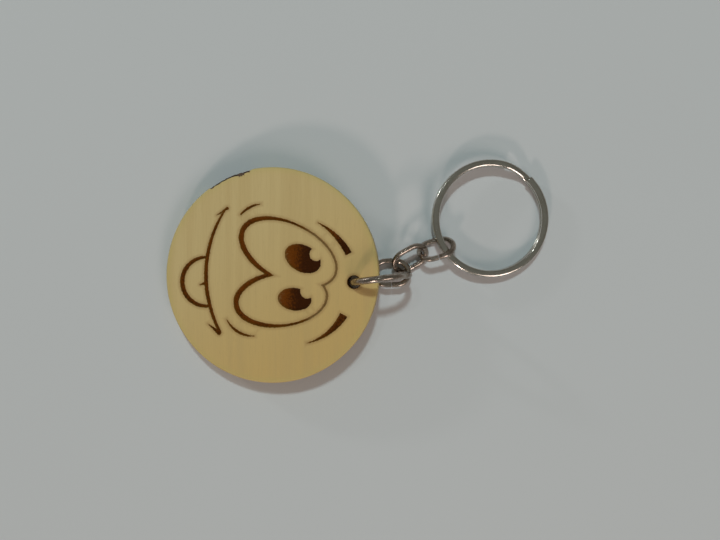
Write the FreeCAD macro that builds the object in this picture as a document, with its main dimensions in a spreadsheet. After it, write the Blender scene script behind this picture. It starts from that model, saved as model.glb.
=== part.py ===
import FreeCAD, Part
import math
import os
import Sketcher
from FreeCAD import Placement, Rotation, Vector

# Wooden smiley keychain, lying on a table. Millimetres and degrees.
# The origin is under the middle of the whole object, on the table. +X runs from the wooden disc
# towards the split ring, and +Z is up.
# The disc lies on its left edge. The upright jump ring in its hole holds its right side up.

SIZES = {
    # Wooden disc, drilled near its right edge.
    "disc_diameter": 45.0,
    "disc_thickness": 3.5,
    "disc_edge_round": 0.4,
    "bark_flat_distance": 22.1,
    "bark_flat_bearing": 113.0,
    "hole_diameter": 2.6,
    "hole_offset": 17.4,
    "hole_bearing": -4.8,
    "groove_depth": 0.35,
    "disc_x": -17.85,
    "disc_y": -1.0,
    "disc_tilt": 5.3,
    # Jump ring: outer diameter, wire, and how it stands in the hole.
    "jump_ring_diameter": 13.0,
    "jump_ring_wire": 1.4,
    "jump_ring_yaw": 7.5,
    "jump_ring_lean": 6.0,
    "jump_ring_shift": 0.22,
    "jump_ring_seam": 1.5,
    "jump_ring_seam_bearing": -40.0,
    # One chain link: outer length and width, wire, and the seam where the wire's ends meet.
    "link_length": 8.5,
    "link_width": 6.3,
    "link_wire": 1.15,
    "link_seam": 0.1,
    # Split ring: outer diameter, one coil's flattened wire, and the ramp between the two coils.
    "split_ring_diameter": 25.0,
    "coil_width": 1.5,
    "coil_height": 1.0,
    "coil_gap": 0.06,
    "ramp_bearing": 60.0,
    "ramp_half_angle": 14.0,
}

# How the loose pieces lie: centre, then yaw, pitch (right end down) and roll.
POSE_WORDS = ("x", "y", "z", "yaw", "pitch", "roll")
POSES = {
    "chain_link_1": (7.01, -0.57, 2.11, 1.0, 0.9, -9.6),
    "chain_link_2": (11.0, 2.48, 2.31, 29.2, -0.2, 41.9),
    "chain_link_3": (16.52, 4.48, 2.52, 15.6, -4.1, -45.7),
    "split_ring": (28.03, 10.95, 1.97, 0.0, 4.1, 1.6),
}

# The burnt face, in the disc's own plane. The top of the face points to the hole, along +X.
# An arc is a circle's centre and outer radius, where it starts, how far it turns, and its width
# at both ends.
ARC_WORDS = ("x", "y", "radius", "start", "sweep", "start_width", "end_width")
ARCS = {
    "smile": (11.13, -0.05, 25.25, 146.2, 62.7, 0.6, 0.6),
    "tongue": (-13.8, -1.4, 5.5, 92.6, 184.0, 0.65, 0.65),
    "upper_brow": (2.5, -2.85, 16.15, 27.6, 34.2, 1.2, 0.4),
    "lower_brow": (4.5, -2.15, 13.15, -75.9, 46.7, 0.4, 1.6),
    "upper_cheek": (-1.55, 8.4, 6.65, 94.8, 45.2, 0.35, 0.5),
    "lower_cheek": (-3.75, -6.35, 6.65, 206.8, 66.3, 0.5, 0.35),
}
# A bar is its middle, its length and width, and the way it points.
BAR_WORDS = ("x", "y", "length", "width", "bearing")
BARS = {
    "upper_smile_end": (-10.35, 13.2, 2.65, 0.55, 32.6),
    "lower_smile_end": (-12.2, -11.15, 3.05, 0.6, -39.0),
    "tongue_crease": (-14.45, -1.85, 1.3, 0.55, 16.0),
}
# An oval is its centre, half its length and width, and the way its length points.
OVAL_WORDS = ("x", "y", "half_length", "half_width", "bearing")
EYES = {
    "upper_eye": (3.75, 4.65, 10.75, 5.95, -26.4),
    "lower_eye": (2.2, -5.05, 9.6, 5.45, 6.4),
}
EYE_LINE = 0.7
PUPILS = {
    "upper_pupil": (6.7, 3.4, 4.0, 2.75, -27.0),
    "lower_pupil": (5.0, -5.0, 3.55, 2.35, -6.6),
}
# The unburnt notch in each pupil's upper right, a round spot.
SPOT_WORDS = ("x", "y", "radius")
SPOTS = {
    "upper_spot": (9.55, 4.3, 1.4),
    "lower_spot": (7.65, -3.4, 1.45),
}
GROOVE_CLEARANCE = 0.5  # how far a groove's cutter stands above the disc

doc = FreeCAD.newDocument("wooden_smiley_keychain")
sheet = doc.addObject("Spreadsheet::Sheet", "sizes")


def fill_sheet():
    """Puts every driving number in a cell of its own, under its alias."""
    rows = dict(SIZES)
    tables = (
        (POSES, POSE_WORDS),
        (ARCS, ARC_WORDS),
        (BARS, BAR_WORDS),
        (EYES, OVAL_WORDS),
        (PUPILS, OVAL_WORDS),
        (SPOTS, SPOT_WORDS),
    )
    for table, words in tables:
        for name, values in table.items():
            for word, value in zip(words, values, strict=True):
                rows[f"{name}_{word}"] = value
    rows["eye_line"] = EYE_LINE
    for row, (alias, value) in enumerate(rows.items(), start=1):
        sheet.set(f"A{row}", alias)
        sheet.set(f"B{row}", str(value))
        sheet.setAlias(f"B{row}", alias)
    doc.recompute()


def size(alias):
    return float(sheet.get(alias))


def bind(thing, **expressions):
    """Binds each named property of an object to an expression in the sheet's words."""
    for name, expression in expressions.items():
        thing.setExpression(name.replace("__", "."), expression)


def cell(alias):
    return f"<<sizes>>.{alias}"


def pose_of(name):
    x, y, z, yaw, pitch, roll = (size(f"{name}_{word}") for word in POSE_WORDS)
    return Placement(Vector(x, y, z), Rotation(yaw, pitch, roll))


# ---- Sketches ----


def new_sketch(body, name, role, offset=None):
    """An empty sketch on one of the body's own origin planes, moved by offset in that plane's frame."""
    sketch = body.newObject("Sketcher::SketchObject", name)
    plane = next(p for p in body.Origin.OriginFeatures if p.Role == role)
    sketch.AttachmentSupport = [(plane, "")]
    sketch.MapMode = "FlatFace"
    if offset:
        sketch.AttachmentOffset = offset
    return sketch


def hold(sketch, kind, *where, expression=None):
    """Adds a constraint, and binds its value to an expression if there is one."""
    index = sketch.addConstraint(Sketcher.Constraint(kind, *where))
    if expression:
        sketch.setExpression(f"Constraints[{index}]", expression)


def draw_circle(sketch, centre, radius, expressions):
    """A circle, held by its centre's x and y and by its radius."""
    x, y = centre
    across, up, wide = expressions
    sketch.addGeometry(Part.Circle(Vector(x, y, 0), Vector(0, 0, 1), radius), False)
    if x:
        hold(sketch, "DistanceX", -1, 1, 0, 3, x, expression=across)
    else:
        hold(sketch, "PointOnObject", 0, 3, -2)
    if y:
        hold(sketch, "DistanceY", -1, 1, 0, 3, y, expression=up)
    else:
        hold(sketch, "PointOnObject", 0, 3, -1)
    hold(sketch, "Radius", 0, radius, expression=wide)


def draw_obround(sketch, centre, straight, radius, expressions):
    """Two half circles joined by two straight sides along the sketch's x axis."""
    x, y = centre
    left, right, up, wide = expressions
    ends = [x - straight / 2, x + straight / 2]
    normal = Vector(0, 0, 1)
    turn = math.pi / 2
    right_circle = Part.Circle(Vector(ends[1], y, 0), normal, radius)
    left_circle = Part.Circle(Vector(ends[0], y, 0), normal, radius)
    top, bottom = y + radius, y - radius
    sketch.addGeometry(
        [
            Part.ArcOfCircle(right_circle, -turn, turn),
            Part.LineSegment(Vector(ends[1], top, 0), Vector(ends[0], top, 0)),
            Part.ArcOfCircle(left_circle, turn, 3 * turn),
            Part.LineSegment(Vector(ends[0], bottom, 0), Vector(ends[1], bottom, 0)),
        ],
        False,
    )
    for piece in range(4):
        hold(sketch, "Tangent", piece, 2, (piece + 1) % 4, 1)
    hold(sketch, "Horizontal", 1)
    hold(sketch, "Horizontal", 3)
    hold(sketch, "DistanceX", -1, 1, 0, 3, ends[1], expression=right)
    hold(sketch, "DistanceX", -1, 1, 2, 3, ends[0], expression=left)
    if y:
        hold(sketch, "DistanceY", -1, 1, 0, 3, y, expression=up)
    else:
        hold(sketch, "PointOnObject", 0, 3, -1)
    hold(sketch, "Radius", 0, radius, expression=wide)


def draw_rectangle(sketch, low, high, expressions):
    """A rectangle held by the x and y of its two opposite corners."""
    corners = [
        Vector(low[0], low[1], 0),
        Vector(high[0], low[1], 0),
        Vector(high[0], high[1], 0),
        Vector(low[0], high[1], 0),
    ]
    for start, end in zip(corners, corners[1:] + corners[:1], strict=True):
        sketch.addGeometry(Part.LineSegment(start, end), False)
    for side in range(4):
        hold(sketch, "Coincident", side, 2, (side + 1) % 4, 1)
        hold(sketch, "Horizontal" if side % 2 == 0 else "Vertical", side)
    places = (
        ("DistanceX", 0, low[0]),
        ("DistanceY", 0, low[1]),
        ("DistanceX", 2, high[0]),
        ("DistanceY", 2, high[1]),
    )
    for (kind, side, value), expression in zip(places, expressions, strict=True):
        hold(sketch, kind, -1, 1, side, 1, value, expression=expression)


# ---- Wooden disc ----


def disc_blank():
    """The sawn disc: a round pad with a flat bark side, a drilled hole and rounded edges."""
    body = doc.addObject("PartDesign::Body", "disc_blank")
    outline = new_sketch(body, "disc_outline", "XY_Plane")
    half = f"{cell('disc_diameter')} / 2"
    draw_circle(outline, (0, 0), size("disc_diameter") / 2, (None, None, half))
    pad = body.newObject("PartDesign::Pad", "disc_pad")
    pad.Profile = outline
    bind(pad, Length=cell("disc_thickness"))

    bearing = Placement(Vector(), Rotation(Vector(0, 0, 1), size("bark_flat_bearing")))
    flat_outline = new_sketch(body, "bark_flat_outline", "XY_Plane", bearing)
    near, wide = size("bark_flat_distance"), size("disc_diameter") / 2
    sides = (cell("bark_flat_distance"), f"-{half}", cell("disc_diameter"), half)
    draw_rectangle(flat_outline, (near, -wide), (2 * wide, wide), sides)
    flat = through_pocket(body, "bark_flat", flat_outline)

    bearing = Placement(Vector(), Rotation(Vector(0, 0, 1), size("hole_bearing")))
    hole_outline = new_sketch(body, "hole_outline", "XY_Plane", bearing)
    where = (cell("hole_offset"), None, f"{cell('hole_diameter')} / 2")
    draw_circle(hole_outline, (size("hole_offset"), 0), size("hole_diameter") / 2, where)
    hole = through_pocket(body, "hole", hole_outline)
    doc.recompute()
    if not hole.Shape.Volume < flat.Shape.Volume < pad.Shape.Volume:
        raise RuntimeError("a pocket of the disc cuts nothing")

    inside = size("hole_offset") + size("hole_diameter")
    rims = [
        f"Edge{number}"
        for number, edge in enumerate(hole.Shape.Edges, start=1)
        if edge.BoundBox.ZLength < 1e-6 and min(v.Point.Length for v in edge.Vertexes) > inside
    ]
    edges = body.newObject("PartDesign::Fillet", "disc_edge_round")
    edges.Base = (hole, rims)
    bind(edges, Radius=cell("disc_edge_round"))
    return body


def through_pocket(body, name, outline):
    pocket = body.newObject("PartDesign::Pocket", name)
    pocket.Profile = outline
    pocket.Type = "ThroughAll"
    pocket.Midplane = True
    return pocket


def cutter_height():
    return f"{cell('groove_depth')} + {GROOVE_CLEARANCE}"


def stand_cutter(thing, name, turn, x=None, y=None):
    """Stands a groove's cutter on the groove's floor, at its place in the face, turned about +Z."""
    thing.Placement = Placement(Vector(), Rotation(Vector(0, 0, 1), turn))
    bind(
        thing,
        Placement__Base__x=x or cell(f"{name}_x"),
        Placement__Base__y=y or cell(f"{name}_y"),
        Placement__Base__z=f"{cell('disc_thickness')} - {cell('groove_depth')}",
    )


def cut(name, base, tool):
    result = doc.addObject("Part::Cut", name)
    result.Base = base
    result.Tool = tool
    return result


def fuse(name, shapes):
    result = doc.addObject("Part::MultiFuse", name)
    result.Shapes = shapes
    return result


def arc_cutter(name):
    """A curved stroke: a sector of a round slab, less a round slab whose centre is moved so that
    the stroke's width changes evenly from one end to the other."""
    start, sweep = cell(f"{name}_start"), cell(f"{name}_sweep")
    first, last = cell(f"{name}_start_width"), cell(f"{name}_end_width")
    move = f"({last} - {first}) / (1 - cos({sweep} * 1deg))"
    outer = doc.addObject("Part::Cylinder", f"{name}_outside")
    bind(outer, Radius=cell(f"{name}_radius"), Height=cutter_height(), Angle=sweep)
    stand_cutter(outer, name, size(f"{name}_start"))
    inner = doc.addObject("Part::Cylinder", f"{name}_inside")
    bind(inner, Radius=f"{cell(f'{name}_radius')} - {first} - {move}", Height=cutter_height())
    across = f"{cell(f'{name}_x')} + {move} * cos({start} * 1deg)"
    up = f"{cell(f'{name}_y')} + {move} * sin({start} * 1deg)"
    stand_cutter(inner, name, 0, across, up)
    return cut(name, outer, inner)


def bar_cutter(name):
    """A short straight stroke."""
    turn = size(f"{name}_bearing")
    bar = doc.addObject("Part::Box", name)
    bind(bar, Length=cell(f"{name}_length"), Width=cell(f"{name}_width"), Height=cutter_height())
    half = Vector(size(f"{name}_length") / 2, size(f"{name}_width") / 2, 0)
    corner = Rotation(Vector(0, 0, 1), turn).multVec(half)
    across = f"{cell(f'{name}_x')} - {corner.x}"
    up = f"{cell(f'{name}_y')} - {corner.y}"
    stand_cutter(bar, name, turn, across, up)
    return bar


def oval_cutter(name, label, grow):
    """An oval slab, grown all round by an expression."""
    outline = doc.addObject("Part::Ellipse", f"{label}_outline")
    bind(
        outline,
        MajorRadius=f"{cell(f'{name}_half_length')} + {grow}",
        MinorRadius=f"{cell(f'{name}_half_width')} + {grow}",
    )
    stand_cutter(outline, name, size(f"{name}_bearing"))
    slab = doc.addObject("Part::Extrusion", label)
    slab.Base = outline
    slab.DirMode = "Custom"
    slab.Dir = Vector(0, 0, 1)
    slab.Solid = True
    bind(slab, LengthFwd=cutter_height())
    return slab


def spot_cutter(name):
    spot = doc.addObject("Part::Cylinder", name)
    bind(spot, Radius=cell(f"{name}_radius"), Height=cutter_height())
    stand_cutter(spot, name, 0)
    return spot


def eye_outline():
    """One line round both ovals together: what the grown ovals cover and the shrunk ones don't."""
    half_line = f"{cell('eye_line')} / 2"
    outer = [oval_cutter(name, f"{name}_outside", half_line) for name in EYES]
    inner = [oval_cutter(name, f"{name}_inside", f"-{half_line}") for name in EYES]
    return cut("eye_outline", fuse("eyes_outside", outer), fuse("eyes_inside", inner))


def pupils():
    shapes = []
    for pupil, spot in zip(PUPILS, SPOTS, strict=True):
        slab = oval_cutter(pupil, f"{pupil}_slab", "0")
        shapes.append(cut(pupil, slab, spot_cutter(spot)))
    return shapes


def wooden_disc():
    """The disc with the face cut into its top, tilted about +Y with its lowest edge on the table."""
    blank = disc_blank()
    strokes = [arc_cutter(name) for name in ARCS] + [bar_cutter(name) for name in BARS]
    face = fuse("face", strokes + [eye_outline()] + pupils())
    disc = cut("wooden_disc", blank, face)
    tilt = math.radians(size("disc_tilt"))
    edge = size("disc_edge_round")
    rim = size("disc_diameter") / 2 - edge
    height = rim * math.sin(tilt) + edge * (1 - math.cos(tilt))
    turn = Rotation(Vector(0, 1, 0), -size("disc_tilt"))
    disc.Placement = Placement(Vector(size("disc_x"), size("disc_y"), height), turn)
    return disc


# ---- Metal pieces ----


def jump_ring(disc):
    """A wire ring that stands in the disc's hole. Its plane holds the hole's axis."""
    ring = doc.addObject("Part::Torus", "jump_ring")
    middle = (size("jump_ring_diameter") - size("jump_ring_wire")) / 2
    bind(
        ring,
        Radius1=f"({cell('jump_ring_diameter')} - {cell('jump_ring_wire')}) / 2",
        Radius2=f"{cell('jump_ring_wire')} / 2",
        Angle3=f"360 - {cell('jump_ring_seam')}",
    )
    bearing, yaw, lean = (
        math.radians(size(alias)) for alias in ("hole_bearing", "jump_ring_yaw", "jump_ring_lean")
    )
    reach = middle * math.cos(lean) - size("jump_ring_shift")
    centre = Vector(
        size("hole_offset") * math.cos(bearing) + reach * math.cos(yaw),
        size("hole_offset") * math.sin(bearing) + reach * math.sin(yaw),
        size("disc_thickness") / 2 + middle * math.sin(lean),
    )
    upright = Rotation(Vector(0, 0, 1), size("jump_ring_yaw")) * Rotation(Vector(1, 0, 0), 90)
    seam = Rotation(Vector(0, 0, 1), size("jump_ring_seam_bearing"))
    ring.Placement = disc.Placement * Placement(centre, upright * seam)
    return ring


def chain_link(name):
    """An oval link: round wire bent into two half circles and two short sides, with a fine seam."""
    wire = size("link_wire")
    straight = size("link_length") - size("link_width")
    bend = (size("link_width") - wire) / 2
    body = doc.addObject("PartDesign::Body", name)
    path = new_sketch(body, f"{name}_path", "XY_Plane")
    half = f"({cell('link_length')} - {cell('link_width')}) / 2"
    middle = f"({cell('link_width')} - {cell('link_wire')}) / 2"
    draw_obround(path, (0, 0), straight, bend, (f"-{half}", half, None, middle))
    section = new_sketch(body, f"{name}_section", "YZ_Plane")
    draw_circle(section, (bend, 0), wire / 2, (middle, None, f"{cell('link_wire')} / 2"))
    doc.recompute()
    pipe = body.newObject("PartDesign::AdditivePipe", f"{name}_wire")
    pipe.Profile = section
    pipe.Spine = (path, [f"Edge{number}" for number in range(1, 5)])
    doc.recompute()

    gap = size("link_seam") / 2
    slit_outline = new_sketch(body, f"{name}_slit_outline", "XY_Plane")
    half_gap = f"{cell('link_seam')} / 2"
    sides = (f"-{half_gap}", f"-{cell('link_width')}", half_gap, f"-{middle} / 2")
    draw_rectangle(slit_outline, (-gap, -size("link_width")), (gap, -bend / 2), sides)
    slit = through_pocket(body, f"{name}_slit", slit_outline)
    doc.recompute()
    if not slit.Shape.Volume < pipe.Shape.Volume:
        raise RuntimeError(f"the seam of {name} cuts nothing")
    body.Placement = pose_of(name)
    return body


def coil_section(body, name, bearing, level):
    """The flattened wire's section, standing on the ring's radius at a bearing, at a level
    counted in coils above the ring's middle."""
    turn = Rotation(Vector(0, 1, 0), bearing)
    sketch = new_sketch(body, name, "XZ_Plane", Placement(Vector(), turn))
    radius = size("coil_height") / 2
    straight = size("coil_width") - size("coil_height")
    middle = (size("split_ring_diameter") - size("coil_width")) / 2
    height = level * (size("coil_height") + size("coil_gap"))
    half = f"({cell('coil_width')} - {cell('coil_height')}) / 2"
    across = f"({cell('split_ring_diameter')} - {cell('coil_width')}) / 2"
    up = f"{level} * ({cell('coil_height')} + {cell('coil_gap')})"
    ends = (f"{across} - {half}", f"{across} + {half}", up, f"{cell('coil_height')} / 2")
    draw_obround(sketch, (middle, height), straight, radius, ends)
    return sketch


def coil(body, name, section):
    """One flat turn of the split ring, from one end of the ramp round to the other."""
    turn = body.newObject("PartDesign::Revolution", name)
    turn.Profile = section
    turn.ReferenceAxis = (section, ["V_Axis"])
    bind(turn, Angle=f"360 - 2 * {cell('ramp_half_angle')}")
    doc.recompute()
    return turn


def split_ring():
    """A key ring: a lower turn, a ramp and an upper turn of one flattened wire."""
    body = doc.addObject("PartDesign::Body", "split_ring")
    bearing, half = size("ramp_bearing"), size("ramp_half_angle")
    lower = coil_section(body, "lower_section", bearing + half, -0.5)
    coil(body, "lower_coil", lower)
    ramp_levels = ((-half, -0.5), (0, 0), (half, 0.5))
    foot, middle, head = (
        coil_section(body, f"ramp_section_{number}", bearing + turn, level)
        for number, (turn, level) in enumerate(ramp_levels, start=1)
    )
    doc.recompute()
    ramp = body.newObject("PartDesign::AdditiveLoft", "ramp")
    ramp.Profile = foot
    ramp.Sections = [middle, head]
    doc.recompute()
    upper = coil_section(body, "upper_section", bearing + half, 0.5)
    coil(body, "upper_coil", upper)
    body.Placement = pose_of("split_ring")
    return body


# ---- Build, check and write ----


def check_document():
    for thing in doc.Objects:
        if {"Invalid", "Error"} & set(thing.State):
            raise RuntimeError(f"{thing.Name} failed: {thing.State}")


def check_piece(piece):
    shape = piece.Shape
    if shape.isNull() or not shape.isValid() or len(shape.Solids) != 1:
        raise RuntimeError(f"{piece.Name} isn't one valid solid")


def main():
    fill_sheet()
    disc = wooden_disc()
    pieces = [disc, jump_ring(disc)]
    pieces += [chain_link(name) for name in POSES if name.startswith("chain_link")]
    pieces.append(split_ring())
    doc.recompute()
    check_document()
    for piece in pieces:
        piece.Label = piece.Name
        check_piece(piece)
    os.makedirs("parts", exist_ok=True)
    for piece in pieces:
        piece.Shape.exportStep(f"parts/{piece.Label}.step")
        box = piece.Shape.optimalBoundingBox(False)
        print(
            f"{piece.Label}: {piece.Shape.Volume:.2f} mm3,",
            f"x {box.XMin:.2f} to {box.XMax:.2f}, y {box.YMin:.2f} to {box.YMax:.2f},",
            f"z {box.ZMin:.2f} to {box.ZMax:.2f}",
        )


main()
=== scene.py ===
import math

import bpy
import numpy as np
from mathutils import Matrix, Vector, noise
from mathutils.geometry import delaunay_2d_cdt


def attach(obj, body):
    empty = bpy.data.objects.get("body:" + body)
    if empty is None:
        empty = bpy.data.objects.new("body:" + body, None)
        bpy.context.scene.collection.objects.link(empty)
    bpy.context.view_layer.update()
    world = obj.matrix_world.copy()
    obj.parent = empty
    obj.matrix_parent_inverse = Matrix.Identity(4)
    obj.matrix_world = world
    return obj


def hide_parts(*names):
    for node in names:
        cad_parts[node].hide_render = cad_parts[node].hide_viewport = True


# A wooden smiley keychain on a pale table, seen from straight above.
# The object's lengths are in millimetres and its angles in degrees, until a mesh is made in
# metres. The table's and the lamps' lengths are in metres.

MM = 0.001
UP = np.array((0, 0, 1))

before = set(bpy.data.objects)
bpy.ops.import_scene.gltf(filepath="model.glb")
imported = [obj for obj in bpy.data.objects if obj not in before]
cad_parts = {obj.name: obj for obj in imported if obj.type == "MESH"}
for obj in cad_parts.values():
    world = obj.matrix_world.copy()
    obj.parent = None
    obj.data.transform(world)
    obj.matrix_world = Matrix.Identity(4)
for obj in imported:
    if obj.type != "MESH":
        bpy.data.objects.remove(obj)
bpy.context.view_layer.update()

# ---- Driving sizes, the same as the CAD model's ----

DISC_RADIUS = 22.5
DISC_THICKNESS = 3.5
DISC_EDGE = 0.4
DISC_PLACE = (-17.85, -1.0)
DISC_TILT = 5.3
BARK_BEARING = 113.0
BARK_HALF_ANGLE = 13.5
HOLE_RADIUS = 1.3
HOLE_OFFSET = 17.4
HOLE_BEARING = -4.8
HOLE_CHAMFER = 0.15
GROOVE_DEPTH = 0.35

JUMP_RING_RADIUS = 5.8  # of the wire's middle line, as for the links' bends and the split ring
JUMP_RING_WIRE = 0.7  # the wire's radius, as for the links
JUMP_RING_YAW = 7.5
JUMP_RING_LEAN = 6.0
JUMP_RING_SHIFT = 0.22
JUMP_RING_SEAM = 1.5
JUMP_RING_SEAM_BEARING = -40.0

LINK_BEND = 2.575
LINK_HALF_STRAIGHT = 1.1
LINK_WIRE = 0.575
LINK_FLATNESS = 0.94  # the wire's half height over its half width
LINK_SEAM = 0.1

SPLIT_RING_RADIUS = 11.75
COIL_WIDTH = 1.5
COIL_HEIGHT = 1.0
COIL_GAP = 0.06
RAMP_BEARING = 60.0
RAMP_HALF_ANGLE = 14.0

# Centre, then yaw, pitch and roll.
POSES = {
    "chain_link_1": (7.01, -0.57, 2.11, 1.0, 0.9, -9.6),
    "chain_link_2": (11.0, 2.48, 2.31, 29.2, -0.2, 41.9),
    "chain_link_3": (16.52, 4.48, 2.52, 15.6, -4.1, -45.7),
    "split_ring": (28.03, 10.95, 1.97, 0.0, 4.1, 1.6),
}

# The burnt face in the disc's own plane, with its top towards the hole, along +X.
# An arc: its circle's centre and outer radius, start, sweep, and its width at the start, in the
# middle and at the end.
ARCS = {
    "smile": (11.13, -0.05, 25.35, 146.2, 62.7, 0.4, 0.85, 0.6),
    "tongue": (-13.8, -1.4, 5.6, 90.0, 190.0, 0.6, 1.0, 0.65),
    "upper_brow": (2.5, -2.85, 16.25, 27.6, 34.2, 1.4, 0.95, 0.12),
    "lower_brow": (4.5, -2.15, 13.2, -75.9, 46.7, 0.12, 0.9, 1.75),
    "upper_cheek": (-1.55, 8.4, 6.65, 94.8, 45.2, 0.12, 0.55, 0.3),
    "lower_cheek": (-3.75, -6.35, 6.65, 206.8, 66.3, 0.1, 0.6, 0.12),
}
# A bar: its middle, length, bearing, and its width at the start and at the end.
BARS = {
    "upper_smile_end": (-10.35, 13.2, 2.65, 32.6, 0.15, 0.6),
    "lower_smile_end": (-12.2, -11.15, 3.05, -39.0, 0.12, 0.95),
    "tongue_crease": (-14.45, -1.85, 1.3, 16.0, 0.2, 0.85),
}
# An oval: its centre, half length, half width and bearing.
EYES = ((3.75, 4.65, 10.75, 5.95, -26.4), (2.2, -5.05, 9.6, 5.45, 6.4))
PUPILS = ((6.7, 3.4, 4.0, 2.75, -27.0), (5.0, -5.0, 3.55, 2.35, -6.6))
SPOTS = ((9.55, 4.3, 1.4), (7.65, -3.4, 1.45))  # centre and radius of each pupil's unburnt notch
EYE_LINE_THIN = 0.5
EYE_LINE_THICK = 1.15


# ---- Small helpers ----


def smooth_step(low, high, value):
    t = np.clip((value - low) / (high - low), 0, 1)
    return t * t * (3 - 2 * t)


def unit(degrees):
    angle = math.radians(degrees)
    return np.array((math.cos(angle), math.sin(angle)))


def turn(degrees, axis):
    return Matrix.Rotation(math.radians(degrees), 4, axis)


def placed(x, y, z, yaw, pitch, roll):
    """The placement of a loose piece, in millimetres."""
    return Matrix.Translation((x, y, z)) @ turn(yaw, "Z") @ turn(pitch, "Y") @ turn(roll, "X")


def disc_placement():
    """The disc lies on its left edge, tilted about +Y."""
    tilt = math.radians(DISC_TILT)
    height = (DISC_RADIUS - DISC_EDGE) * math.sin(tilt) + DISC_EDGE * (1 - math.cos(tilt))
    return Matrix.Translation((*DISC_PLACE, height)) @ turn(-DISC_TILT, "Y")


def jump_ring_placement():
    """The jump ring's wire stands in the hole, and its plane holds the hole's axis."""
    lean = math.radians(JUMP_RING_LEAN)
    reach = JUMP_RING_RADIUS * math.cos(lean) - JUMP_RING_SHIFT
    x, y = HOLE_OFFSET * unit(HOLE_BEARING) + reach * unit(JUMP_RING_YAW)
    z = DISC_THICKNESS / 2 + JUMP_RING_RADIUS * math.sin(lean)
    upright = turn(JUMP_RING_YAW, "Z") @ turn(90, "X") @ turn(JUMP_RING_SEAM_BEARING, "Z")
    return disc_placement() @ Matrix.Translation((x, y, z)) @ upright


def new_piece(name, points, faces, placement, sharp_angle=40.0):
    """A mesh object from points in its own frame, with its place in the mesh. Each point also
    keeps its own place, in millimetres, for the material's patterns."""
    mesh = bpy.data.meshes.new(name)
    rotation = np.array(placement.to_3x3())
    moved = points @ rotation.T + np.array(placement.translation)
    mesh.from_pydata([tuple(p) for p in moved * MM], [], faces)
    mesh.validate()
    own_place = mesh.attributes.new("own_place", "FLOAT_VECTOR", "POINT")
    own_place.data.foreach_set("vector", points.astype(np.float32).ravel())
    mesh.shade_smooth()
    mesh.set_sharp_from_angle(angle=math.radians(sharp_angle))
    piece = bpy.data.objects.new(name, mesh)
    bpy.context.scene.collection.objects.link(piece)
    return piece


def add_measure(piece, name, values):
    """A number for each point of a mesh, which its material reads."""
    attribute = piece.data.attributes.new(name, "FLOAT", "POINT")
    attribute.data.foreach_set("value", np.asarray(values, np.float32))


def wavy(x, y, seed, size):
    """Smooth noise from -1 to 1 at each x, y, with features of a size."""
    return np.array([noise.noise(Vector((a / size, b / size, seed))) for a, b in zip(x, y)])


# ---- Wooden disc: the burnt face ----


def arc_distance(points, arc):
    """How far each point is outside an arc's square-ended stroke; inside it is negative."""
    x, y, radius, start, turned, first, middle, last = arc
    away = points - (x, y)
    angle = np.degrees(np.arctan2(away[:, 1], away[:, 0])) - start
    centred = (angle - turned / 2 + 180) % 360 - 180
    t = np.clip(centred / turned + 0.5, 0, 1)
    rise = 1 - (2 * t - 1) ** 2
    width = first + (last - first) * t + (middle - (first + last) / 2) * rise
    line = radius - max(first, middle, last) / 2
    beside = np.abs(np.linalg.norm(away, axis=1) - line) - width / 2
    beyond = np.radians(np.abs(centred) - turned / 2) * line
    return np.maximum(beside, beyond)


def bar_distance(points, bar):
    """How far each point is outside a round-ended bar; inside it is negative."""
    x, y, length, bearing, first, last = bar
    along = unit(bearing)
    away = points - (x, y)
    t = np.clip(away @ along / length + 0.5, 0, 1)
    nearest = np.outer((t - 0.5) * length, along)
    return np.linalg.norm(away - nearest, axis=1) - (first + (last - first) * t) / 2


def oval_distance(points, oval):
    """About how far each point is outside an oval; inside it is negative."""
    x, y, half_length, half_width, bearing = oval
    along = unit(bearing)
    away = points - (x, y)
    own = np.stack((away @ along, away @ (-along[1], along[0])), 1)
    reach = np.linalg.norm(own / (half_length, half_width), axis=1)
    slope = np.linalg.norm(own / (half_length**2, half_width**2), axis=1)
    return reach * (reach - 1) / np.maximum(slope, 1e-6)


def eye_distance(points):
    """How far each point is outside both eyes together; inside them it is negative."""
    return np.minimum(*(oval_distance(points, eye) for eye in EYES))


def eye_line_distance(points):
    """The line round both eyes together, thick at the chin side and thin at the brows."""
    width = EYE_LINE_THICK + (EYE_LINE_THIN - EYE_LINE_THICK) * smooth_step(-7, 6, points[:, 0])
    return np.abs(eye_distance(points)) - width / 2


def pupil_distance(points, pupil, spot):
    """How far each point is outside a pupil without its unburnt notch."""
    x, y, radius = spot
    notch = radius - np.linalg.norm(points - (x, y), axis=1)
    return np.maximum(oval_distance(points, pupil), notch)


def face_distance(points):
    """Distance to the nearest edge of the burnt face, negative in its grooves."""
    strokes = [arc_distance(points, arc) for arc in ARCS.values()]
    strokes += [bar_distance(points, bar) for bar in BARS.values()]
    strokes.append(eye_line_distance(points))
    strokes += [pupil_distance(points, *pair) for pair in zip(PUPILS, SPOTS)]
    nearest = np.minimum.reduce(strokes)
    ragged = 0.05 * wavy(points[:, 0], points[:, 1], seed=3.0, size=0.5)
    return nearest + ragged


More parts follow.
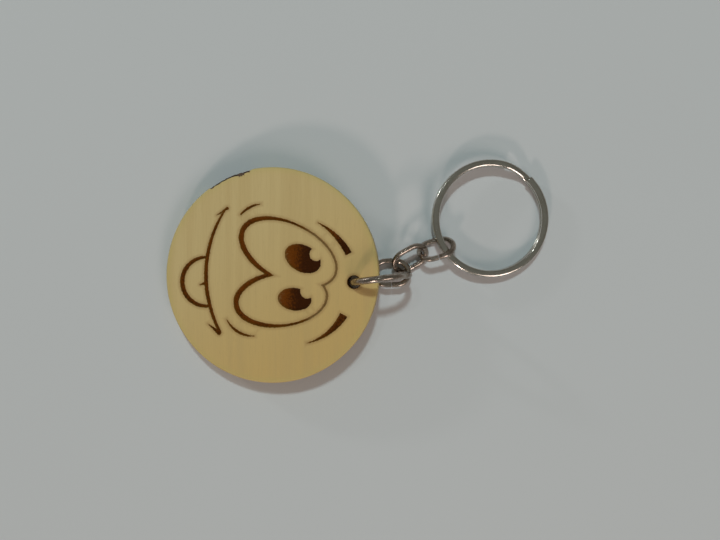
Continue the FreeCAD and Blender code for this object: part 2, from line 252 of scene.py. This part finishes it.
def char_amount(points):
    """How dark the burn is: blotchy in the lines, faint in the eyes' thin line, dark in the brows
    and darker towards each pupil's right."""
    blotch = 0.5 + 0.5 * wavy(points[:, 0], points[:, 1], seed=8.0, size=3.5)
    from_eyes = eye_distance(points)
    brow = smooth_step(0.6, 1.0, from_eyes) * smooth_step(11, 16, points[:, 0])
    thin = smooth_step(-1.0, -0.6, -np.abs(from_eyes)) * smooth_step(5, 10, points[:, 0])
    char = 0.22 + 0.5 * blotch + 0.3 * brow - 0.85 * thin
    for x, y, half_length, half_width, bearing in PUPILS:
        inside = oval_distance(points, (x, y, half_length + 0.3, half_width + 0.3, bearing)) < 0
        across = (points[:, 0] - x) / half_length
        char = np.where(inside, smooth_step(-1.1, 0.35, across + 0.25 * (blotch - 0.5)), char)
    return char


# ---- Wooden disc: its shape ----

RIM_COUNT = 300
HOLE_COUNT = 40


def rim_radius(bearing, height):
    """The disc's outline at each bearing and height: a hand-sanded round with one bark side."""
    angle = np.radians(bearing)
    x, y = np.cos(angle), np.sin(angle)
    wobble = 0.05 + 0.05 * wavy(4 * x, 4 * y, seed=1.0, size=2.2)
    slope = 0.12 * height / DISC_THICKNESS
    rough = 0.3 * np.abs(wavy(22 * x, 22 * y + 1.7 * height, seed=5.0, size=1.3))
    return DISC_RADIUS - wobble - is_bark(bearing) * (slope + rough)


def is_bark(bearing):
    """1 on the bark side and 0 elsewhere, with a soft change between them."""
    off = np.abs((bearing - BARK_BEARING + 180) % 360 - 180)
    return 1 - smooth_step(BARK_HALF_ANGLE - 2, BARK_HALF_ANGLE, off)


def rim_profile():
    """The rim's inset and height, from the top face's edge to the bottom face's edge."""
    steps = np.linspace(0, 90, 6)
    inset = DISC_EDGE * (1 - np.sin(np.radians(steps)))
    drop = DISC_EDGE * (1 - np.cos(np.radians(steps)))
    top = [(i, DISC_THICKNESS - d) for i, d in zip(inset, drop)]
    wall = [(0.0, h) for h in np.linspace(DISC_THICKNESS - DISC_EDGE, DISC_EDGE, 9)[1:-1]]
    bottom = [(i, d) for i, d in zip(inset, drop)][::-1]
    return top + wall + bottom


def hole_profile():
    """The hole's radius and height, from the top face's edge to the bottom face's edge."""
    wide = HOLE_RADIUS + HOLE_CHAMFER
    top = [(wide, DISC_THICKNESS), (HOLE_RADIUS, DISC_THICKNESS - HOLE_CHAMFER)]
    wall = [(HOLE_RADIUS, DISC_THICKNESS * part) for part in (0.75, 0.5, 0.25)]
    bottom = [(HOLE_RADIUS, HOLE_CHAMFER), (wide, 0.0)]
    return top + wall + bottom


def snapped(points, reach):
    """Moves the points near the burnt face's edge onto it."""
    step = 0.01
    least_slope = 0.2
    for _ in range(2):
        off = face_distance(points)
        along_x = (face_distance(points + (step, 0)) - off) / step
        along_y = (face_distance(points + (0, step)) - off) / step
        slope = np.stack((along_x, along_y), 1)
        near = np.abs(off) < reach
        shift = slope * (off / np.maximum((slope**2).sum(1), least_slope))[:, None]
        points = np.where(near[:, None], points - shift, points)
    return points


def grid(step, limit):
    """Points in staggered rows over a square."""
    ticks = np.arange(-limit, limit + step, step)
    x, y = np.meshgrid(ticks, ticks)
    x = x + (np.arange(len(ticks)) % 2)[:, None] * step / 2
    return np.stack((x.ravel(), y.ravel()), 1)


def inside_face(points, margin):
    """Which points are on the flat face, at least a margin from its rim and from the hole."""
    bearing = np.degrees(np.arctan2(points[:, 1], points[:, 0]))
    rim = rim_radius(bearing, np.full(len(points), DISC_THICKNESS)) - DISC_EDGE
    hole = np.linalg.norm(points - HOLE_OFFSET * unit(HOLE_BEARING), axis=1)
    ring = np.linalg.norm(points, axis=1)
    return (ring < rim - margin) & (hole > HOLE_RADIUS + HOLE_CHAMFER + margin)


def top_points():
    """Points of the top face: close together about the grooves, and wide apart elsewhere."""
    fine, wide = 0.13, 0.8
    fine_margin, wide_margin = 0.15, 0.3
    near_grooves = 0.45
    face_reach = 20
    small = grid(fine, face_reach)
    small = small[face_distance(small) < near_grooves]
    small = snapped(small, fine / 2)
    small = small[inside_face(small, fine_margin)]
    large = grid(wide, DISC_RADIUS)
    large = large[face_distance(large) > near_grooves + wide / 3]
    large = large[inside_face(large, wide_margin)]
    return np.concatenate((small, large))


def bottom_points():
    wide, margin = 1.1, 0.5
    large = grid(wide, DISC_RADIUS)
    return large[inside_face(large, margin)]


def flat_face(loops, inner):
    """Triangles between two closed loops of points, over inner points as well. The loops' points
    come first in the result, in their own order."""
    edges = []
    start = 0
    for loop in loops:
        count = len(loop)
        edges += [(start + i, start + (i + 1) % count) for i in range(count)]
        start += count
    given = np.concatenate((*loops, inner))
    made = delaunay_2d_cdt([Vector(p) for p in given], edges, [], 0, 1e-7)
    points, triangles, origins = made[0], made[2], made[3]
    place = {made_index: origin[0] for made_index, origin in enumerate(origins) if origin}
    if len(place) != len(points):
        raise RuntimeError("the disc's face has crossing loops")
    corners = np.array([[place[c] for c in triangle] for triangle in triangles])
    kept = corners[between_loops(given[corners].mean(1), loops)]
    return given, kept.tolist()


def between_loops(points, loops):
    """Which points are inside an odd number of closed loops: inside the rim but not the hole."""
    inside = np.zeros(len(points), bool)
    for loop in loops:
        for (x0, y0), (x1, y1) in zip(loop, np.roll(loop, -1, axis=0)):
            if y0 != y1:
                crossing = x0 + (points[:, 1] - y0) / (y1 - y0) * (x1 - x0)
                inside ^= ((y0 > points[:, 1]) != (y1 > points[:, 1])) & (points[:, 0] < crossing)
    return inside


def ring_faces(upper, lower):
    """A closed band of faces between two rows of as many points."""
    count = len(upper)
    return [(upper[i], lower[i], lower[(i + 1) % count], upper[(i + 1) % count]) for i in range(count)]


def disc_rows():
    """Rows of points round the rim and round the hole, from the top face's edge down."""
    rim_bearings = np.arange(RIM_COUNT) * 360 / RIM_COUNT
    around = np.stack([unit(b) for b in rim_bearings])
    rim_rows = []
    for inset, height in rim_profile():
        radius = rim_radius(rim_bearings, np.full(RIM_COUNT, height)) - inset
        rim_rows.append((around * radius[:, None], height))
    hole_bearings = np.arange(HOLE_COUNT) * 360 / HOLE_COUNT
    around = np.stack([unit(b) for b in hole_bearings])
    centre = HOLE_OFFSET * unit(HOLE_BEARING)
    hole_rows = [(centre + around * radius, height) for radius, height in hole_profile()]
    return rim_rows, hole_rows


def groove_depth(flat):
    """How deep the top face is burnt in at each point, with an uneven floor in the grooves."""
    unevenness, side_width = 0.03, 0.3
    rough = unevenness * (wavy(flat[:, 0], flat[:, 1], seed=6.0, size=0.35) - 2)
    return (GROOVE_DEPTH + rough) * smooth_step(0, side_width, -face_distance(flat))


def disc_mesh():
    """The whole disc as one closed mesh: two faces, the rim and the hole's wall."""
    points, faces = [], []

    def add_points(flat, height):
        """Adds points at a height and gives their numbers."""
        first = len(points)
        heights = np.broadcast_to(height, len(flat))
        points.extend((*p, h) for p, h in zip(flat, heights))
        return list(range(first, len(points)))

    def add_wall(upper, rows, lower, order):
        """Joins the two faces' edges through rows of points. An order of -1 faces inwards."""
        for flat, height in rows:
            following = add_points(flat, height)
            faces.extend(face[::order] for face in ring_faces(upper, following))
            upper = following
        faces.extend(face[::order] for face in ring_faces(upper, lower))

    rim_rows, hole_rows = disc_rows()
    flat, triangles = flat_face([rim_rows[0][0], hole_rows[0][0]], top_points())
    top = add_points(flat, DISC_THICKNESS - groove_depth(flat))
    faces += [[top[c] for c in corners] for corners in triangles]

    flat, triangles = flat_face([rim_rows[-1][0], hole_rows[-1][0]], bottom_points())
    bottom = add_points(flat, 0.0)
    faces += [[bottom[c] for c in reversed(corners)] for corners in triangles]

    rim, hole = slice(RIM_COUNT), slice(RIM_COUNT, RIM_COUNT + HOLE_COUNT)
    add_wall(top[rim], rim_rows[1:-1], bottom[rim], 1)
    add_wall(top[hole], hole_rows[1:-1], bottom[hole], -1)
    return np.array(points), faces


def wooden_disc():
    """The disc, with what its material reads at each point: the distance to the nearest burnt
    edge, how dark the burn is, the nearness of the rim and the bark."""
    points, faces = disc_mesh()
    piece = new_piece("wooden_disc_sanded", points, faces, disc_placement(), sharp_angle=50)
    flat, height = points[:, :2], points[:, 2]
    on_top = height > DISC_THICKNESS - GROOVE_DEPTH - 0.1
    burnt_radius = HOLE_RADIUS + 0.12
    hole = np.linalg.norm(flat - HOLE_OFFSET * unit(HOLE_BEARING), axis=1) - burnt_radius
    edge = np.where(on_top, np.minimum(face_distance(flat), hole), hole)
    add_measure(piece, "burn_edge", np.clip(edge, -1, 3))
    add_measure(piece, "char", char_amount(flat))
    bearing = np.degrees(np.arctan2(flat[:, 1], flat[:, 0]))
    rim = rim_radius(bearing, height) - np.linalg.norm(flat, axis=1)
    add_measure(piece, "rim", 1 - smooth_step(0.1, 1.6, rim))
    width = 0.42 + 0.2 * wavy(flat[:, 0], flat[:, 1], seed=9.0, size=2.0)
    torn = bearing + 3.0 * wavy(0.2 * bearing, 3 * height, seed=10.0, size=1.9)
    add_measure(piece, "bark", is_bark(torn) * (1 - smooth_step(width - 0.15, width, rim)))
    return piece


# ---- Metal pieces ----


def swept_wire(stations, section):
    """A wire through stations. Each is a centre, the directions of the section's x and y, and the
    section's scale there. Both ends are closed."""
    points, faces = [], []
    count = len(section)
    for centre, across, up, scale in stations:
        flat = section * scale
        points.extend(centre + flat[:, :1] * across + flat[:, 1:] * up)
    for row in range(len(stations) - 1):
        this = range(row * count, (row + 1) * count)
        following = range((row + 1) * count, (row + 2) * count)
        faces += ring_faces(this, following)
    faces.append(tuple(range(count)))
    faces.append(tuple(reversed(range(len(points) - count, len(points)))))
    return np.array(points), faces


def squarish(half_width, half_height, power, count=24):
    """A rounded section, rounder at a power of 2 and squarer above it."""
    angle = np.arange(count) * 2 * math.pi / count
    c, s = np.cos(angle), np.sin(angle)
    reach = (np.abs(c) ** power + np.abs(s) ** power) ** (-1 / power)
    return np.stack((half_width * reach * c, half_height * reach * s), 1)


def cut_end(distance, bevel, smallest=0.8):
    """The section's scale near a cut end, which is a little bevelled."""
    return smallest + (1 - smallest) * smooth_step(0, bevel, distance)


def end_steps(total, step, bevel):
    """Places along a wire: even steps, and closer ones at the bevelled ends."""
    close = np.array((0, 0.35, 0.7, 1.0)) * bevel
    even = np.linspace(bevel, total - bevel, max(2, round(total / step)))
    return np.concatenate((close[:-1], even, total - close[:-1][::-1]))


def jump_ring():
    """Round wire bent to a ring, its two cut ends nearly touching."""
    gap = math.radians(JUMP_RING_SEAM) * JUMP_RING_RADIUS
    length = 2 * math.pi * JUMP_RING_RADIUS - gap
    bevel = 0.12
    pinch_depth, pinch_place, pinch_width = 0.035, 1.6, 0.7  # where pliers held the wire's ends
    stations = []
    for place in end_steps(length, 0.28, bevel):
        angle = (place + gap / 2) / JUMP_RING_RADIUS
        outward = np.array((math.cos(angle), math.sin(angle), 0))
        end = min(place, length - place)
        pinch = 1 - pinch_depth * math.exp(-(((end - pinch_place) / pinch_width) ** 2))
        stations.append((outward * JUMP_RING_RADIUS, outward, UP, cut_end(end, bevel) * pinch))
    points, faces = swept_wire(stations, squarish(JUMP_RING_WIRE, JUMP_RING_WIRE, 2.0))
    return new_piece("jump_ring_wire", points, faces, jump_ring_placement())


def link_station(place):
    """The centre and the outward direction at a distance along a link's path, from its seam."""
    bend, half = LINK_BEND, LINK_HALF_STRAIGHT
    bend_length = math.pi * bend
    on_right = place - half
    on_far_side = on_right - bend_length
    on_left = on_far_side - 2 * half
    if on_right < 0:
        middle, bearing = place, -90
    elif on_far_side < 0:
        middle, bearing = half, 180 * on_right / bend_length - 90
    elif on_left < 0:
        middle, bearing = half - on_far_side, 90
    elif on_left < bend_length:
        middle, bearing = -half, 180 * on_left / bend_length + 90
    else:
        middle, bearing = on_left - bend_length - half, -90
    outward = np.array((*unit(bearing), 0))
    return np.array((middle, 0, 0)) + bend * outward, outward


def chain_link(name):
    """Slightly flattened wire bent to an oval, with a fine seam in one side."""
    length = 4 * LINK_HALF_STRAIGHT + 2 * math.pi * LINK_BEND - LINK_SEAM
    bevel = 0.08
    stations = []
    for place in end_steps(length, 0.2, bevel):
        centre, outward = link_station(place + LINK_SEAM / 2)
        scale = cut_end(min(place, length - place), bevel)
        stations.append((centre, outward, UP, scale))
    points, faces = swept_wire(stations, squarish(LINK_WIRE, LINK_WIRE * LINK_FLATNESS, 2.3))
    return new_piece(f"{name}_wire", points, faces, placed(*POSES[name]))


def coil_rise(angle):
    """The wire's level at an angle along the split ring's two turns, from its lower end."""
    t = smooth_step(360 - 2 * RAMP_HALF_ANGLE, 360, angle)
    return (t - 0.5) * (COIL_HEIGHT + COIL_GAP)


def split_ring():
    """A lower turn, a ramp and an upper turn of one flattened wire with ground ends."""
    degree = math.radians(1) * SPLIT_RING_RADIUS
    length = (720 - 2 * RAMP_HALF_ANGLE) * degree
    bevel = 0.15
    stations = []
    for place in end_steps(length, 0.35, bevel):
        angle = place / degree
        outward = np.array((*unit(RAMP_BEARING + RAMP_HALF_ANGLE + angle), 0))
        centre = outward * SPLIT_RING_RADIUS + UP * coil_rise(angle)
        scale = cut_end(min(place, length - place), bevel, smallest=0.88)
        stations.append((centre, outward, UP, scale))
    points, faces = swept_wire(stations, squarish(COIL_WIDTH / 2, COIL_HEIGHT / 2, 2.5, 32))
    return new_piece("split_ring_wire", points, faces, placed(*POSES["split_ring"]))


# ---- Materials ----


class Nodes:
    """A short way to write a material's nodes."""

    def __init__(self, name):
        self.material = bpy.data.materials.new(name)
        self.material.use_nodes = True
        self.tree = self.material.node_tree
        self.shader = self.tree.nodes["Principled BSDF"]

    def add(self, kind, **values):
        node = self.tree.nodes.new(kind)
        for key, value in values.items():
            setattr(node, key, value)
        return node

    def link(self, start, end):
        self.tree.links.new(start, end)

    def feed(self, socket, value):
        if isinstance(value, bpy.types.NodeSocket):
            self.link(value, socket)
        else:
            socket.default_value = value

    def math(self, operation, *values):
        node = self.add("ShaderNodeMath", operation=operation)
        for socket, value in zip(node.inputs, values):
            self.feed(socket, value)
        return node.outputs[0]

    def own_place(self, scale):
        """The piece's own coordinates in millimetres, times a scale for each axis."""
        place = self.add("ShaderNodeAttribute", attribute_name="own_place").outputs["Vector"]
        mapping = self.add("ShaderNodeMapping")
        self.link(place, mapping.inputs["Vector"])
        mapping.inputs["Scale"].default_value = scale
        return mapping.outputs[0]

    def noise(self, place, scale=1.0, detail=2.0, roughness=0.5, distortion=0.0):
        node = self.add("ShaderNodeTexNoise")
        self.link(place, node.inputs["Vector"])
        node.inputs["Scale"].default_value = scale
        node.inputs["Detail"].default_value = detail
        node.inputs["Roughness"].default_value = roughness
        node.inputs["Distortion"].default_value = distortion
        return node.outputs["Fac"]

    def spread(self, value, low, high, to_low=0.0, to_high=1.0, smooth=True):
        node = self.add("ShaderNodeMapRange")
        node.interpolation_type = "SMOOTHSTEP" if smooth else "LINEAR"
        self.feed(node.inputs["Value"], value)
        node.inputs["From Min"].default_value = low
        node.inputs["From Max"].default_value = high
        node.inputs["To Min"].default_value = to_low
        node.inputs["To Max"].default_value = to_high
        return node.outputs[0]

    def mix(self, amount, first, second):
        node = self.add("ShaderNodeMix", data_type="RGBA")
        self.feed(node.inputs["Factor"], amount)
        for socket, value in ((node.inputs[6], first), (node.inputs[7], second)):
            self.feed(socket, value if isinstance(value, bpy.types.NodeSocket) else (*value, 1.0))
        return node.outputs[2]

    def measure(self, name):
        return self.add("ShaderNodeAttribute", attribute_name=name).outputs["Fac"]

    def bump(self, height, distance, strength=1.0, normal=None):
        node = self.add("ShaderNodeBump")
        self.link(height, node.inputs["Height"])
        node.inputs["Distance"].default_value = distance * MM
        node.inputs["Strength"].default_value = strength
        if normal is not None:
            self.link(normal, node.inputs["Normal"])
        return node.outputs[0]

    def set(self, **values):
        for name, value in values.items():
            self.feed(self.shader.inputs[name.replace("_", " ")], value)


def grain_colour(n, fibres, pores):
    """Pale wood with its grain along the disc's Y, which changes a little across the disc and
    towards its rim."""
    place = n.add("ShaderNodeSeparateXYZ")
    n.link(n.own_place((1.0, 1.0, 1.0)), place.inputs[0])
    rightward = n.math("MULTIPLY", place.outputs["X"], 0.6)
    drift = n.spread(n.math("SUBTRACT", rightward, place.outputs["Y"]), -20.0, 24.0)
    bands = n.noise(n.own_place((0.42, 0.011, 0.12)), detail=4.0, roughness=0.62, distortion=0.15)
    pale = n.mix(drift, (0.58, 0.44, 0.205), (0.56, 0.38, 0.14))
    banded = n.mix(n.spread(bands, 0.4, 0.68, 0.0, 0.4), pale, (0.49, 0.345, 0.145))
    streaked = n.mix(n.spread(fibres, 0.42, 0.72, 0.0, 0.18), banded, (0.44, 0.30, 0.13))
    dotted = n.mix(n.spread(pores, 0.66, 0.8, 0.0, 0.25), streaked, (0.30, 0.19, 0.075))
    return n.mix(n.math("MULTIPLY", n.measure("rim"), 0.45), dotted, (0.50, 0.40, 0.14))


def burnt_colour(n, edge, speckle):
    """The burnt grooves' brown, darker where there is more char."""
    uneven = n.spread(speckle, 0.25, 0.75, -0.3, 0.3, smooth=False)
    char = n.math("ADD", n.measure("char"), uneven)
    light = n.mix(n.spread(edge, -0.35, 0.0), (0.13, 0.033, 0.0015), (0.155, 0.066, 0.005))
    faint = n.mix(n.spread(char, -0.4, 0.25, 0.6, 0.0), light, (0.30, 0.20, 0.08))
    return n.mix(n.spread(char, 0.3, 0.95), faint, (0.036, 0.009, 0.001))


def wood_material():
    """Sanded wood with burnt grooves and a strip of bark."""
    n = Nodes("sanded_wood")
    fibres = n.noise(n.own_place((5.5, 0.14, 4.5)), detail=3.0, roughness=0.6)
    pores = n.noise(n.own_place((8.0, 0.42, 7.0)), detail=1.0)
    speckle = n.noise(n.own_place((3.0, 2.2, 3.0)), detail=3.0, roughness=0.65)
    crust = n.noise(n.own_place((1.6, 1.6, 1.6)), detail=4.0, roughness=0.7)

    ragged = n.spread(speckle, 0.3, 0.7, -0.07, 0.07, smooth=False)
    edge = n.math("ADD", n.measure("burn_edge"), ragged)
    halo = n.spread(edge, 0.0, 0.75, 0.5, 0.0)
    burn = n.spread(edge, -0.06, 0.06, 1.0, 0.0)
    scorched = n.mix(halo, grain_colour(n, fibres, pores), (0.33, 0.19, 0.07))
    faced = n.mix(burn, scorched, burnt_colour(n, edge, speckle))

    bark_colour = n.mix(n.spread(crust, 0.35, 0.65), (0.035, 0.022, 0.017), (0.13, 0.085, 0.06))
    torn = n.math("ADD", n.measure("bark"), n.spread(crust, 0.3, 0.7, -0.25, 0.25))
    bark = n.spread(torn, 0.4, 0.6)

    dull = n.math("MAXIMUM", burn, bark)
    rough = n.add("ShaderNodeMix", data_type="FLOAT")
    n.feed(rough.inputs[0], dull)
    n.feed(rough.inputs[2], n.spread(fibres, 0.3, 0.7, 0.4, 0.52))
    n.feed(rough.inputs[3], 0.72)
    relief = n.math("ADD", n.math("MULTIPLY", fibres, 0.6), n.math("MULTIPLY", pores, -0.4))
    surface = n.bump(relief, 0.025, 0.6)
    surface = n.bump(n.math("MULTIPLY", speckle, dull), 0.12, 0.8, surface)
    n.set(Base_Color=n.mix(bark, faced, bark_colour), Roughness=rough.outputs[0], Normal=surface)
    n.set(Specular_IOR_Level=n.spread(dull, 0.0, 1.0, 0.35, 0.1, smooth=False))
    return n.material


def metal_material(name, clean, tarnish, tarnish_share, roughness):
    """Nickel plate with warm tarnish in patches, fine wear scratches and uneven polish."""
    n = Nodes(name)
    patches = n.noise(n.own_place((0.55, 0.55, 0.55)), detail=3.0, roughness=0.6)
    cloud = n.noise(n.own_place((2.6, 2.6, 2.6)), detail=2.0)
    scratches = n.noise(n.own_place((14.0, 1.6, 14.0)), detail=2.0, distortion=0.4)
    amount = n.spread(patches, 0.38, 0.68, 0.05, tarnish_share)
    colour = n.mix(amount, clean, tarnish)
    colour = n.mix(n.spread(cloud, 0.35, 0.7, 0.0, 0.2), colour, tarnish)
    low, high = roughness
    rough = n.spread(n.math("MULTIPLY", n.math("ADD", cloud, scratches), 0.5), 0.35, 0.65, low, high)
    rough = n.math("ADD", rough, n.math("MULTIPLY", amount, 0.3))
    surface = n.bump(scratches, 0.006, 0.2)
    surface = n.bump(cloud, 0.02, 0.15, surface)
    n.set(Base_Color=colour, Roughness=rough, Normal=surface, Metallic=1.0)
    return n.material


def floor_material():
    n = Nodes("pale_table")
    place = n.add("ShaderNodeTexCoord").outputs["Object"]
    soft = n.noise(place, scale=12.0, detail=2.0)
    n.set(Base_Color=n.mix(soft, (0.555, 0.56, 0.56), (0.57, 0.575, 0.575)), Roughness=0.6)
    n.set(Specular_IOR_Level=0.2)
    return n.material


def dress(piece, material, body, node):
    piece.data.materials.append(material)
    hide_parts(node)
    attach(piece, body)


# ---- Table, light and camera ----


def table_top():
    half = 1.5
    mesh = bpy.data.meshes.new("table_top")
    corners = [(-half, -half, 0), (half, -half, 0), (half, half, 0), (-half, half, 0)]
    mesh.from_pydata(corners, [], [(0, 1, 2, 3)])
    floor = bpy.data.objects.new("table_top", mesh)
    bpy.context.scene.collection.objects.link(floor)
    mesh.materials.append(floor_material())


def area_light(name, bearing, height, size, power, colour, in_metal=True):
    """A round light at a bearing from +X and a height angle above the table, facing the object.
    It can be left out of what metal reflects."""
    distance = 1.4
    data = bpy.data.lights.new(name, "AREA")
    data.shape = "DISK"
    data.size = size
    data.energy = power
    data.color = colour
    light = bpy.data.objects.new(name, data)
    bpy.context.scene.collection.objects.link(light)
    towards = Vector((*unit(bearing) * math.cos(math.radians(height)), math.sin(math.radians(height))))
    light.location = towards * distance
    light.rotation_euler = towards.to_track_quat("Z", "Y").to_euler()
    light.visible_glossy = in_metal


def studio_world():
    """Soft light all round, dim straight above and paler towards the horizon."""
    world = bpy.data.worlds.new("studio")
    bpy.context.scene.world = world
    world.use_nodes = True
    tree = world.node_tree
    background = tree.nodes["Background"]
    place = tree.nodes.new("ShaderNodeTexCoord")
    parts = tree.nodes.new("ShaderNodeSeparateXYZ")
    ramp = tree.nodes.new("ShaderNodeValToRGB")
    tree.links.new(place.outputs["Generated"], parts.inputs[0])
    tree.links.new(parts.outputs["Z"], ramp.inputs[0])
    tree.links.new(ramp.outputs[0], background.inputs["Color"])
    stops = (
        (0.0, (0.30, 0.28, 0.26)),
        (0.25, (0.20, 0.18, 0.16)),
        (0.5, (0.12, 0.115, 0.10)),
        (0.85, (0.16, 0.16, 0.14)),
    )
    elements = ramp.color_ramp.elements
    while len(elements) < len(stops):
        elements.new(0.5)
    for element, (position, colour) in zip(elements, stops):
        element.position = position
        element.color = (*colour, 1.0)
    background.inputs["Strength"].default_value = 1.0


def camera():
    """Straight above the middle, with the image's top along +Y."""
    height = 150
    middle = (0.35, 0.04)
    seen_width = 155.2  # of the table
    data = bpy.data.cameras.new("camera")
    data.sensor_width = 36
    data.lens = data.sensor_width * height / seen_width
    data.clip_start = 0.01
    view = bpy.data.objects.new("camera", data)
    bpy.context.scene.collection.objects.link(view)
    view.location = Vector((*middle, height)) * MM
    bpy.context.scene.camera = view


def main():
    camera()
    table_top()
    studio_world()
    area_light("key_light", 94, 59, 0.12, 7.5, (0.74, 0.93, 0.97), in_metal=False)
    area_light("top_light", 120, 58, 0.06, 0.6, (0.9, 1.0, 1.0))
    area_light("left_light", 145, 14, 0.09, 2.0, (0.95, 0.98, 1.0))
    area_light("low_left_light", 252, 28, 0.16, 4.1, (1.0, 0.81, 0.75))
    area_light("fill_light", 304, 42, 0.62, 4.0, (1.0, 0.84, 0.79))
    bpy.context.scene.view_settings.view_transform = "Standard"

    wood = wood_material()
    chain_metal = metal_material(
        "tarnished_nickel",
        clean=(0.51, 0.455, 0.405),
        tarnish=(0.2, 0.155, 0.11),
        tarnish_share=0.7,
        roughness=(0.1, 0.2),
    )
    ring_metal = metal_material(
        "bright_nickel",
        clean=(0.64, 0.63, 0.59),
        tarnish=(0.40, 0.37, 0.30),
        tarnish_share=0.4,
        roughness=(0.07, 0.17),
    )
    dress(wooden_disc(), wood, "disc", "wooden_disc")
    dress(jump_ring(), chain_metal, "jump_ring_body", "jump_ring")
    for number in (1, 2, 3):
        name = f"chain_link_{number}"
        dress(chain_link(name), chain_metal, f"link_{number}", name)
    dress(split_ring(), ring_metal, "key_ring", "split_ring")


main()
